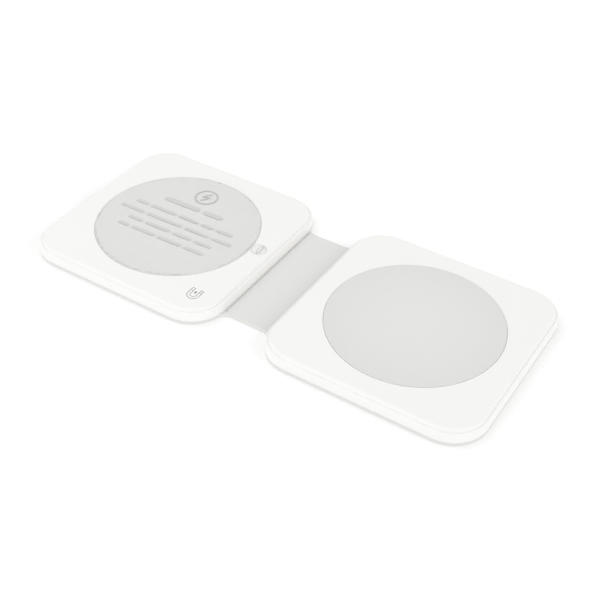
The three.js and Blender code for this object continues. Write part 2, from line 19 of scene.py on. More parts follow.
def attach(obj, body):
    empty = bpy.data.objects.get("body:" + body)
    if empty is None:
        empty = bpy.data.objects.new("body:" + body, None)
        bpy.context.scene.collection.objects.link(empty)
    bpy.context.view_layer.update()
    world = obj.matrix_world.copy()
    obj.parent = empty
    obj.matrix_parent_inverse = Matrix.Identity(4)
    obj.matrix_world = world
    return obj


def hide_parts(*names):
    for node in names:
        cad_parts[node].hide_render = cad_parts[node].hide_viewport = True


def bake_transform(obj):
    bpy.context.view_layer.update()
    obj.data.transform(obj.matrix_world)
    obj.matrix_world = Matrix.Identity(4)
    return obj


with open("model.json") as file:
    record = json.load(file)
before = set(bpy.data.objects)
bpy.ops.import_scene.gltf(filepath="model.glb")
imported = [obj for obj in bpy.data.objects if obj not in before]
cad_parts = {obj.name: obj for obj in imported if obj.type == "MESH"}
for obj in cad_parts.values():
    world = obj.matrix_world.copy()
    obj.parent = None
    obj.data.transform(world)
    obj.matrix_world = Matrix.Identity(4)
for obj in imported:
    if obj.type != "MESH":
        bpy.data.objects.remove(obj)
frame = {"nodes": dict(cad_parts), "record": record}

MM = 0.001
ACRYLIC_IOR = 1.49
PHONE_X = -45.2  # the phone pad's middle; the second pad's is its mirror image
NECK_STEPS = 30  # cuts across each half of the neck, so that it bends smoothly
log = logging.getLogger("charging_pad")

Point2 = tuple[float, float]
Point3 = tuple[float, float, float]
Colour = tuple[float, float, float]
Material = bpy.types.Material
Piece = bpy.types.Object


# ---- Shader maths ----
def operator(operation: str, swapped: bool = False) -> Callable[["Signal", "Number"], "Signal"]:
    """Makes the method behind one of a Signal's operators.

    Args:
        operation: The Math node's operation.
        swapped: Whether the other number comes first, as in the reflected forms.

    Returns:
        The method.
    """

    def method(self: "Signal", other: "Number") -> "Signal":
        """Adds the operator's Math node."""
        return self.apply(operation, *((other, self) if swapped else (self, other)))

    return method


class Signal:
    """A number that changes over a surface, worked with ordinary operators."""

    def __init__(self, recipe: "Recipe", socket: bpy.types.NodeSocket) -> None:
        """Wraps an output socket.

        Args:
            recipe: The recipe whose node tree the socket belongs to.
            socket: The output that carries the number.
        """
        self.recipe = recipe
        self.socket = socket

    def apply(self, operation: str, *values: "Number", clamp: bool = False) -> "Signal":
        """Adds one Math node.

        Args:
            operation: The Math node's operation.
            *values: Its operands in order.
            clamp: Whether the result is held between 0 and 1.

        Returns:
            The node's result.
        """
        node = self.recipe.node(
            "ShaderNodeMath", {"operation": operation, "use_clamp": clamp}, dict(enumerate(values))
        )
        return Signal(self.recipe, node.outputs[0])

    __add__, __radd__ = operator("ADD"), operator("ADD", swapped=True)
    __sub__, __rsub__ = operator("SUBTRACT"), operator("SUBTRACT", swapped=True)
    __mul__, __rmul__ = operator("MULTIPLY"), operator("MULTIPLY", swapped=True)
    __truediv__, __rtruediv__ = operator("DIVIDE"), operator("DIVIDE", swapped=True)
    __pow__, __rpow__ = operator("POWER"), operator("POWER", swapped=True)

    def __abs__(self) -> "Signal":
        """abs(self)."""
        return self.apply("ABSOLUTE", self)

    def above(self, level: float) -> "Signal":
        """1 where this is over level, else 0."""
        return self.apply("GREATER_THAN", self, level)

    def sine(self) -> "Signal":
        """The sine of this, in radians."""
        return self.apply("SINE", self)

    def larger(self, other: "Number") -> "Signal":
        """The larger of this and another."""
        return self.apply("MAXIMUM", self, other)

    def swing(self, by: float) -> "Signal":
        """A number from 0 to 1 brought to swing evenly about 0, by so much in all."""
        return by * (self - 0.5)

    def ramp(self, low: float, high: float) -> "Signal":
        """Rises evenly from 0 at low to 1 at high, and is held there.

        Args:
            low: Where the result is 0.
            high: Where the result is 1. It may lie below low.

        Returns:
            The clamped result.
        """
        return self.apply("DIVIDE", self - low, high - low, clamp=True)


Number = Union[Signal, float, int]


class Recipe:
    """A material under construction: one node tree with a Principled surface."""

    def __init__(self, name: str) -> None:
        """Starts an empty material with its surface and output.

        Args:
            name: The material's name.
        """
        self.material = bpy.data.materials.new(name)
        self.material.use_nodes = True
        self.tree = self.material.node_tree
        self.tree.nodes.clear()
        self.output = self.tree.nodes.new("ShaderNodeOutputMaterial")
        self.surface = self.tree.nodes.new("ShaderNodeBsdfPrincipled")
        self.tree.links.new(self.surface.outputs[0], self.output.inputs["Surface"])
        self.place = self.node("ShaderNodeTexCoord").outputs["Object"]

    def node(
        self,
        kind: str,
        settings: Optional[dict[str, Any]] = None,
        inputs: Optional[dict[Union[str, int], Any]] = None,
    ) -> bpy.types.Node:
        """Adds any node: its settings first, then the values or links of its sockets.

        Args:
            kind: The node's type name.
            settings: Attributes of the node. "stops" fills a colour ramp with (position, colour).
            inputs: Socket names or numbers, with a value, a Signal or an output socket for each.

        Returns:
            The new node.
        """
        made = self.tree.nodes.new(kind)
        for key, value in (settings or {}).items():
            if key == "stops":
                ramp = made.color_ramp.elements
                while len(ramp) < len(value):
                    ramp.new(0.5)
                for stop, (position, colour) in zip(ramp, value):
                    stop.position = position
                    stop.color = (*colour, 1.0)
            else:
                setattr(made, key, value)
        for key, value in (inputs or {}).items():
            self.feed(made.inputs[key], value)
        return made

    def feed(self, socket: bpy.types.NodeSocket, value: Any) -> None:
        """Links a socket, or sets its value.

        Args:
            socket: The input to fill.
            value: A Signal, an output socket, a number or a tuple.
        """
        if isinstance(value, Signal):
            self.tree.links.new(value.socket, socket)
        elif isinstance(value, bpy.types.NodeSocket):
            self.tree.links.new(value, socket)
        elif isinstance(value, tuple) and len(value) == 3 and socket.type == "RGBA":
            socket.default_value = (*value, 1.0)
        else:
            socket.default_value = value

    def set(self, **inputs: Any) -> None:
        """Fills sockets of the surface, with _ for the spaces in their names.

        Args:
            **inputs: Values or links by socket name, such as Base_Color.
        """
        for key, value in inputs.items():
            self.feed(self.surface.inputs[key.replace("_", " ")], value)

    def noise(self, per_mm: float, detail: float = 2.0, roughness: float = 0.5) -> Signal:
        """Soft noise from 0 to 1 over the object's own space.

        Args:
            per_mm: How many grains there are in a millimetre.
            detail: How many finer layers are added.
            roughness: How strong those layers are.

        Returns:
            The noise.
        """
        made = self.node(
            "ShaderNodeTexNoise",
            None,
            {"Vector": self.place, "Scale": per_mm / MM, "Detail": detail, "Roughness": roughness},
        )
        return Signal(self, made.outputs[0])

    def cells(self, per_mm: float, feature: str = "F1") -> Signal:
        """Distance inside Voronoi cells over the object's own space.

        Args:
            per_mm: How many cells there are in a millimetre.
            feature: The Voronoi node's feature.

        Returns:
            The distance.
        """
        made = self.node(
            "ShaderNodeTexVoronoi", {"feature": feature}, {"Vector": self.place, "Scale": per_mm / MM}
        )
        return Signal(self, made.outputs["Distance"])

    def coordinate(self, axis: int, generated: bool = False) -> Signal:
        """One coordinate, in millimetres, or from 0 to 1 over the piece.

        Args:
            axis: 0, 1 or 2 for X, Y or Z.
            generated: Whether it runs from 0 to 1 over the piece instead.

        Returns:
            The coordinate.
        """
        source = self.place
        if generated:
            source = self.node("ShaderNodeTexCoord").outputs["Generated"]
        split = self.node("ShaderNodeSeparateXYZ", None, {0: source})
        along = Signal(self, split.outputs[axis])
        return along if generated else along * (1 / MM)

    def blend(self, factor: Signal, first: Any, second: Any) -> bpy.types.NodeSocket:
        """Mixes two colours.

        Args:
            factor: 0 gives first and 1 gives second.
            first: A colour or a colour socket.
            second: A colour or a colour socket.

        Returns:
            The mixed colour's socket.
        """
        made = self.node(
            "ShaderNodeMix", {"data_type": "RGBA"}, {"Factor": factor, 6: first, 7: second}
        )
        return made.outputs[2]

    def tones(self, factor: Signal, colour: Colour, low: float, high: float) -> bpy.types.NodeSocket:
        """Mixes two tones of one colour, low where the factor is 0 and high where it is 1."""
        return self.blend(factor, shade(colour, low), shade(colour, high))

    def squared_distance(self, centre: Point2) -> Signal:
        """The square of the distance from an upright line, in square millimetres.

        Args:
            centre: Where the line stands.

        Returns:
            The squared distance.
        """
        x = self.coordinate(0) - centre[0]
        y = self.coordinate(1) - centre[1]
        return x * x + y * y

    def bump(self, height: Signal, depth_mm: float) -> None:
        """Feeds a height from 0 to 1 to the surface's normal.

        Args:
            height: The height.
            depth_mm: The real depth between heights 0 and 1.
        """
        made = self.node(
            "ShaderNodeBump", None, {"Strength": 1.0, "Distance": depth_mm * MM, "Height": height}
        )
        self.set(Normal=made.outputs[0])


def shade(colour: Colour, by: float) -> Colour:
    """A colour made lighter or darker.

    Args:
        colour: The colour, linear.
        by: The factor on each channel.

    Returns:
        The new colour, held at 1.
    """
    return tuple(min(1.0, c * by) for c in colour)


# ---- Finishes ----
class Finish:
    """What every finish can do: become a material."""

    def paint(self, r: Recipe) -> None:
        """Fills the recipe's surface."""
        raise NotImplementedError

    def dress(self, name: str) -> Material:
        """Builds the material under the given name.

        Args:
            name: The material's name.

        Returns:
            The material.
        """
        recipe = Recipe(name)
        self.paint(recipe)
        return recipe.material


@dataclass(frozen=True)
class Moulded(Finish):
    """Satin moulded plastic with a fine spark-eroded grain."""

    colour: Colour
    rough: float = 0.42
    grain_mm: float = 0.002
    per_mm: float = 4.0
    cloud_per_mm: float = 0.05

    def paint(self, r: Recipe) -> None:
        """Fills the recipe's surface.

        Args:
            r: The recipe.
        """
        cloud = r.noise(self.cloud_per_mm, 3)
        fine = r.noise(self.per_mm, 2)
        r.set(
            Base_Color=r.tones(cloud, self.colour, 0.995, 1.005),
            Roughness=self.rough + cloud.swing(0.08) + fine.swing(0.05),
            Specular_IOR_Level=0.4,
        )
        r.bump(fine, self.grain_mm)


@dataclass(frozen=True)
class Silicone(Finish):
    """Matt silicone rubber: a powdery grain, faint clouds and a few specks of dust.

    A glow above 0 paints a highlight on it, that much lighter towards its centre.
    """

    colour: Colour
    rough: float = 0.7
    grain_mm: float = 0.004
    dust: float = 0.2
    glow: float = 0.0
    centre: Point2 = (0.0, 0.0)
    reach: float = 28.0
    cloud_per_mm: float = 0.07
    powder_per_mm: float = 7.0
    specks_per_mm: float = 0.9
    patches_per_mm: float = 0.3

    def paint(self, r: Recipe) -> None:
        """Fills the recipe's surface.

        Args:
            r: The recipe.
        """
        cloud = r.noise(self.cloud_per_mm, 4, 0.6)
        powder = r.noise(self.powder_per_mm, 3, 0.6)
        specks = r.cells(self.specks_per_mm).ramp(0.06, 0.03)
        specks = specks * r.noise(self.patches_per_mm, 1).above(0.62)
        plain = r.tones(cloud, self.colour, 0.99, 1.008)
        if self.glow:
            # painted highlight: the base colour grows lighter towards the centre
            centre_highlight = 1 - r.squared_distance(self.centre) / self.reach**2
            plain = r.blend(centre_highlight.ramp(0.0, 1.0), plain, shade(self.colour, 1 + self.glow))
        r.set(
            Base_Color=r.blend(specks * self.dust, plain, shade(self.colour, 1.25)),
            Roughness=self.rough + cloud.swing(0.1) + powder.swing(0.08),
            Specular_IOR_Level=0.3,
            Sheen_Weight=0.06,
            Sheen_Roughness=0.5,
        )
        r.bump(powder, self.grain_mm)


@dataclass(frozen=True)
class ClearSheet(Finish):
    """Thin clear film with the faintest ripple."""

    colour: Colour
    alpha: float = 0.04
    rough: float = 0.22
    ripples_per_mm: float = 0.12
    ripple_mm: float = 0.02

    def paint(self, r: Recipe) -> None:
        """Fills the recipe's surface.

        Args:
            r: The recipe.
        """
        ripple = r.noise(self.ripples_per_mm, 2)
        r.set(
            Base_Color=r.blend(ripple, shade(self.colour, 0.98), self.colour),
            Roughness=self.rough + ripple.swing(0.1),
            Alpha=self.alpha * (0.6 + 0.8 * ripple),
        )
        r.bump(ripple, self.ripple_mm)


@dataclass(frozen=True)
class Ink(Finish):
    """Flat screen-printed ink, a little uneven in its cover."""

    colour: Colour
    rough: float = 0.55

    def paint(self, r: Recipe) -> None:
        """Fills the recipe's surface.

        Args:
            r: The recipe.
        """
        cover = r.noise(3.0, 2)
        r.set(
            Base_Color=r.tones(cover, self.colour, 0.94, 1.06),
            Roughness=self.rough + cover.swing(0.1),
        )


@dataclass(frozen=True)
class Metal(Finish):
    """Stamped or plated metal with hairlines."""

    colour: Colour
    rough: float = 0.28
    hairline: float = 0.12
    hair_mm: float = 0.002
    lines_per_m: Point3 = (400.0, 9000.0, 400.0)

    def paint(self, r: Recipe) -> None:
        """Fills the recipe's surface.

        Args:
            r: The recipe.
        """
        cloud = r.noise(0.25, 3)
        stretched = r.node(
            "ShaderNodeMapping", None, {"Vector": r.place, "Scale": self.lines_per_m}
        )
        lines = r.node("ShaderNodeTexNoise", None, {"Vector": stretched.outputs[0], "Scale": 1.0})
        hair = Signal(r, lines.outputs[0])
        r.set(
            Base_Color=r.tones(cloud, self.colour, 0.92, 1.05),
            Roughness=self.rough + hair.swing(self.hairline) + cloud.swing(0.1),
            Metallic=1.0,
        )
        r.bump(hair, self.hair_mm)


@dataclass(frozen=True)
class WoundWire(Finish):
    """Enamelled copper: strands along a winding, darker in the gaps."""

    colour: Colour
    centre: Point2
    strands_per_mm: float = 3.0
    strand_mm: float = 0.05

    def paint(self, r: Recipe) -> None:
        """Fills the recipe's surface.

        Args:
            r: The recipe.
        """
        radius = r.squared_distance(self.centre) ** 0.5
        strand = (radius * (2 * math.pi * self.strands_per_mm)).sine() * 0.5 + 0.5
        tarnish = r.noise(0.4, 3)
        bright = r.tones(tarnish, self.colour, 0.8, 1.15)
        r.set(
            Base_Color=r.blend(strand, shade(self.colour, 0.45), bright),
            Roughness=0.42 - 0.14 * strand + 0.08 * tarnish,
            Metallic=0.85,
            Coat_Weight=0.4,
        )
        r.bump(strand, self.strand_mm)


@dataclass(frozen=True)
class CircuitBoard(Finish):
    """Green solder mask over copper tracks, with a coat of gloss."""

    mask: Colour
    track: Colour
    pad: Colour = (0.62, 0.5, 0.28)
    vias_per_mm: float = 0.45
    track_mm: float = 0.035

    def paint(self, r: Recipe) -> None:
        """Fills the recipe's surface.

        Args:
            r: The recipe.
        """
        wander = r.noise(0.35, 1)
        lines = (r.coordinate(1) * 5.0 + wander * 16.0).sine().ramp(0.55, 0.75)
        broken = r.noise(0.22, 1).ramp(0.46, 0.5)
        tracks = lines * broken
        vias = r.cells(self.vias_per_mm).ramp(0.16, 0.12)
        masked = r.blend(tracks, self.mask, self.track)
        r.set(
            Base_Color=r.blend(vias, masked, self.pad),
            Roughness=0.36 + 0.1 * r.noise(4.0, 2),
            Metallic=vias * 0.8,
            Coat_Weight=0.35,
        )
        r.bump(tracks.larger(vias), self.track_mm)


@dataclass(frozen=True)
class FerriteTile(Finish):
    """Dark sintered sheet broken into small tiles."""

    colour: Colour
    tiles_per_mm: float = 0.4
    crack_mm: float = 0.06

    def paint(self, r: Recipe) -> None:
        """Fills the recipe's surface.

        Args:
            r: The recipe.
        """
        crack = r.cells(self.tiles_per_mm, "DISTANCE_TO_EDGE").ramp(0.03, 0.0)
        dust = r.noise(2.5, 3)
        body = r.tones(dust, self.colour, 0.75, 1.4)
        r.set(
            Base_Color=r.blend(crack, body, shade(self.colour, 0.25)),
            Roughness=0.62 + dust.swing(0.2),
        )
        r.bump(1 - crack, self.crack_mm)


@dataclass(frozen=True)
class Package(Finish):
    """Moulded component: a granular body with a lighter mark or plated ends."""

    colour: Colour
    ends: Optional[Colour] = None
    rough: float = 0.55
    grit_mm: float = 0.012
    mark_at: Point2 = (0.2, 0.8)

    def paint(self, r: Recipe) -> None:
        """Fills the recipe's surface.

        Args:
            r: The recipe.
        """
        grit = r.noise(6.0, 2)
        body = r.tones(grit, self.colour, 0.8, 1.3)
        along = r.coordinate(1, generated=True)
        across = r.coordinate(0, generated=True)
        if self.ends:
            plated = abs(along - 0.5).above(0.3)
            r.set(Base_Color=r.blend(plated, body, self.ends), Metallic=plated * 0.9)
            r.set(Roughness=self.rough - 0.25 * plated + 0.1 * grit)
        else:
            u = across - self.mark_at[0]
            v = along - self.mark_at[1]
            dot = ((u * u + v * v) ** 0.5).ramp(0.07, 0.05)
            r.set(Base_Color=r.blend(dot, body, shade(self.colour, 3.0)))
            r.set(Roughness=self.rough + grit.swing(0.12) - 0.15 * dot)
        r.bump(grit, self.grit_mm)


@dataclass(frozen=True)
class PolyimideCable(Finish):
    """Amber film with copper lines showing through it."""

    film: Colour
    copper: Colour
    lines_per_mm: float = 0.8
    line_mm: float = 0.015

    def paint(self, r: Recipe) -> None:
        """Fills the recipe's surface.

        Args:
            r: The recipe.
        """
        lines = (r.coordinate(1) * (2 * math.pi * self.lines_per_mm)).sine().ramp(0.0, 0.25)
        stain = r.noise(0.3, 3)
        under = r.tones(stain, self.film, 0.85, 1.1)
        r.set(
            Base_Color=r.blend(lines * 0.75, under, self.copper),
            Roughness=0.32 + 0.1 * stain,
            Coat_Weight=0.3,
        )
        r.bump(lines, self.line_mm)


@dataclass(frozen=True)
class Lens(Finish):
    """Clear or milky moulded lens, faintly uneven."""

    colour: Colour
    transmission: float

    def paint(self, r: Recipe) -> None:
        """Fills the recipe's surface.

        Args:
            r: The recipe.
        """
        cloud = r.noise(1.2, 2)
        r.set(
            Base_Color=r.blend(cloud, shade(self.colour, 0.96), self.colour),
            Roughness=0.12 + 0.08 * cloud,
            Transmission_Weight=self.transmission,
            IOR=ACRYLIC_IOR,
        )


@dataclass(frozen=True)
class TableTop(Finish):
    """A pale, evenly lit table with no grain to speak of, and a lighter far end."""

    colour: Colour
    glow: float
    far_glow: float
    near_mm: float = 200.0
    far_mm: float = 700.0

    def paint(self, r: Recipe) -> None:
        """Fills the recipe's surface.

        Args:
            r: The recipe.
        """
        cloud = r.noise(0.004, 2)
        far = (r.squared_distance((0.0, 0.0)) ** 0.5).ramp(self.near_mm, self.far_mm)
        near_glow, far_glow = (self.glow,) * 3, (self.far_glow,) * 3
        r.set(
            Base_Color=r.blend(cloud, shade(self.colour, 0.995), self.colour),
            Roughness=0.9 + 0.05 * cloud,
            Emission_Color=r.blend(far, near_glow, far_glow),
            Emission_Strength=1.0,
            Specular_IOR_Level=0.0,
        )


class Slot(Enum):
    """The record's material slots."""

    SHELL = "shell_white"
    SKIN = "skin_silicone"
    DISC = "disc_silicone"
    FILM = "clear_film"
    PLATE = "inner_plate"
    CARRIER = "carrier_black"
    MAGNET = "magnet_nickel"
    STEEL = "steel"
    FERRITE = "ferrite"
    COPPER = "copper"
    BOARD = "board_green"
    CHIP = "chip_black"
    INDUCTOR = "inductor_grey"
    CAPACITOR = "capacitor_tan"
    BEAD = "bead_grey"
    FLEX = "flex_amber"
    LAMP = "lamp_white"
    GUIDE = "light_guide"


class Body(Enum):
    """The bodies that move as one."""

    PHONE = "phone_pad"
    NECK = "neck"
    SECOND = "second_pad"


# ---- Mesh work ----
def mesh_object(name: str, rings: Sequence[Sequence[Point3]], closed: bool) -> Piece:
    """Skins rings of equal length, in millimetres, into one closed solid.

    Args:
        name: The new object's name.
        rings: Rings of points, each in the same turning sense.
        closed: Whether the last ring joins the first. If not, both ends are capped.

    Returns:
        The object, linked to the scene.
    """
    bm = bmesh.new()
    rows = [[bm.verts.new(Vector(p) * MM) for p in ring] for ring in rings]
    count = len(rows[0])
    spans = len(rows) if closed else len(rows) - 1
    for k in range(spans):
        low, high = rows[k], rows[(k + 1) % len(rows)]
        for i in range(count):
            j = (i + 1) % count
            bm.faces.new((low[i], low[j], high[j], high[i]))
    if not closed:
        bm.faces.new(list(reversed(rows[0])))
        bm.faces.new(rows[-1])
    return solid_from(name, bm)


def solid_from(name: str, bm: bmesh.types.BMesh) -> Piece:
    """Turns a bmesh into a linked object with its faces out.

    Args:
        name: The new object's name.
        bm: The mesh, which is freed.

    Returns:
        The object.
    """
    bmesh.ops.remove_doubles(bm, verts=bm.verts, dist=1e-7)
    bmesh.ops.recalc_face_normals(bm, faces=bm.faces)
    return plain_object(name, bm)


def plain_object(name: str, bm: bmesh.types.BMesh) -> Piece:
    """Turns a bmesh into a linked object as it is, and frees it.

    Args:
        name: The new object's name.
        bm: The mesh.

    Returns:
        The object.
    """
    data = bpy.data.meshes.new(name)
    bm.to_mesh(data)
    bm.free()
    return linked(name, data)


def linked(name: str, data: bpy.types.ID) -> Piece:
    """Puts a mesh, light or camera in the scene.

    Args:
        name: The new object's name.
        data: Its mesh, light or camera.

    Returns:
        The object.
    """
    made = bpy.data.objects.new(name, data)
    bpy.context.scene.collection.objects.link(made)
    return made


def level(points: Sequence[Point2], z: float) -> list[Point3]:
    """Raises flat points to a height."""
    return [(x, y, z) for x, y in points]


def prism(name: str, outline: Sequence[Point2], low: float, high: float) -> Piece:
    """A flat plate of the given outline between two heights, in millimetres."""
    return mesh_object(name, [level(outline, z) for z in (low, high)], closed=False)


def settle(piece: Piece) -> None:
    """Applies a piece's modifiers to its mesh.

    Args:
        piece: The piece.
    """
    graph = bpy.context.evaluated_depsgraph_get()
    graph.update()
    data = bpy.data.meshes.new_from_object(piece.evaluated_get(graph))
    piece.modifiers.clear()
    piece.data = data


def carve(
    piece: Piece, *tools: Piece, operation: str = "DIFFERENCE"
) -> Piece:
    """Cuts tools out of a piece, or joins them to it, and removes them.

    Args:
        piece: The solid that is worked on.
        *tools: The solids to take away or to add.
        operation: DIFFERENCE to take away, UNION to add.

    Returns:
        The piece.
    """
    for tool in tools:
        step = piece.modifiers.new("carve", "BOOLEAN")
        step.operation = operation
        step.solver = "EXACT"
        step.object = tool
    settle(piece)
    for tool in tools:
        bpy.data.objects.remove(tool)
    return piece


def smooth(piece: Piece, degrees: float = 32.0) -> None:
    """Shades a piece smooth, keeps edges sharper than the angle crisp and flats flat.

    Args:
        piece: The piece.
        degrees: The angle over which an edge stays crisp.
    """
    piece.data.shade_smooth()
    piece.data.set_sharp_from_angle(angle=math.radians(degrees))
    even = piece.modifiers.new("even_normals", "WEIGHTED_NORMAL")
    even.keep_sharp = True
    even.weight = 80


def arc(cx: float, cy: float, r: float, start: float, end: float, steps: int) -> list[Point2]:
    """Points on an arc.

    Args:
        cx: Centre, first coordinate.
        cy: Centre, second coordinate.
        r: Radius.
        start: First angle, in degrees.
        end: Last angle, in degrees.
        steps: Number of equal steps.

    Returns:
        The points, both ends included.
    """
    turns = [math.radians(start + (end - start) * i / steps) for i in range(steps + 1)]
    return [(cx + r * math.cos(a), cy + r * math.sin(a)) for a in turns]


def curve(a: Point2, b: Point2, c: Point2, d: Point2, steps: int) -> list[Point2]:
    """Points on a cubic curve from a to d, pulled towards b and c.

    Args:
        a: The first point.
        b: Where the curve's start heads for.
        c: Where its end comes from.
        d: The last point.
        steps: Number of steps.

    Returns:
        The points, both ends included.
    """
    points = []
    for i in range(steps + 1):
        t = i / steps
        shares = ((1 - t) ** 3, 3 * t * (1 - t) ** 2, 3 * t * t * (1 - t), t**3)
        points.append(tuple(sum(w * p[k] for w, p in zip(shares, (a, b, c, d))) for k in (0, 1)))
    return points


def bow(start: Point2, end: Point2, rise: float, steps: int = 12) -> list[Point2]:
    """Points on a shallow bow between two points.

    Args:
        start: The first point.
        end: The last point.
        rise: How far its middle stands off the chord, to the left of the way.
        steps: Number of equal steps.

    Returns:
        The points, both ends included.
    """
    dx, dy = end[0] - start[0], end[1] - start[1]
    length = math.hypot(dx, dy)
    points = []
    for i in range(steps + 1):
        t = i / steps
        off = 4 * rise * t * (1 - t) / length
        points.append((start[0] + dx * t - dy * off, start[1] + dy * t + dx * off))
    return points


def stadium(width: float, height: float, steps: int = 12) -> list[Point2]:
    """Outline of a slot with round ends, centred on zero.

    Args:
        width: The slot's full length.
        height: Its height, twice the radius of its ends.
        steps: Number of steps round each end.

    Returns:
        The outline.
    """
    r = height / 2
    c = width / 2 - r
    return arc(c, 0, r, -90, 90, steps) + arc(-c, 0, r, 90, 270, steps)


def bar(x: float, y: float, width: float, height: float) -> list[Point2]:
    """Outline of a level bar with round ends, centred on a point. It is wider than high."""
    return [(x + u, y + v) for u, v in stadium(width, height, 6)]


def stroke(path: Sequence[Point2], width: float, closed: bool = False) -> list[list[Point2]]:
    """Outlines of the straight pieces of a drawn line.

    Args:
        path: The line's points.
        width: The line's width.
        closed: Whether the last point joins the first.

    Returns:
        One outline for each piece, with round ends that overlap at the joints.
    """
    pairs = list(zip(path, path[1:] + ([path[0]] if closed else [])))
    outlines = []
    for (x0, y0), (x1, y1) in pairs:
        angle = math.atan2(y1 - y0, x1 - x0)
        length = math.hypot(x1 - x0, y1 - y0)
        flat = stadium(length + width, width, 5)
        c, s = math.cos(angle), math.sin(angle)
        mx, my = (x0 + x1) / 2, (y0 + y1) / 2
        outlines.append([(mx + u * c - v * s, my + u * s + v * c) for u, v in flat])
    return outlines


@dataclass
class PadOutline:
    """A pad's rounded square, with enough points to pass smoothly into a circle."""

    half: float = 36.4
    corner: float = 12.0
    side_steps: int = 20
    corner_steps: int = 18

    def square(self, inset: float) -> list[Point2]:
        """Points set in from the skin's outline, anticlockwise from the +X side's middle.

        Args:
            inset: The distance from the skin's outline.

        Returns:
            The points.
        """
        c = self.half - self.corner
        r = self.corner - inset
        points: list[Point2] = []
        for quarter in range(4):
            turn = math.radians(90 * quarter)
            side = [
                (c + r, -c + 2 * c * i / self.side_steps) for i in range(self.side_steps)
            ]
            bend = arc(c, c, r, 0, 90, self.corner_steps)[:-1]
            for x, y in side + bend:
                points.append(
                    (x * math.cos(turn) - y * math.sin(turn), x * math.sin(turn) + y * math.cos(turn))
                )
        return points

    def circle(self, radius: float) -> list[Point2]:
        """Points on a circle, one in the direction of each point of the square."""
        return [
            (radius * x / math.hypot(x, y), radius * y / math.hypot(x, y))
            for x, y in self.square(0)
        ]

    def solid(
        self, name: str, section: Iterable[tuple[float, float]], closed: bool
    ) -> Piece:
        """Carries a section of (inset, height) points round the outline."""
        rings = [level(self.square(inset), z) for inset, z in section]
        return mesh_object(name, rings, closed)


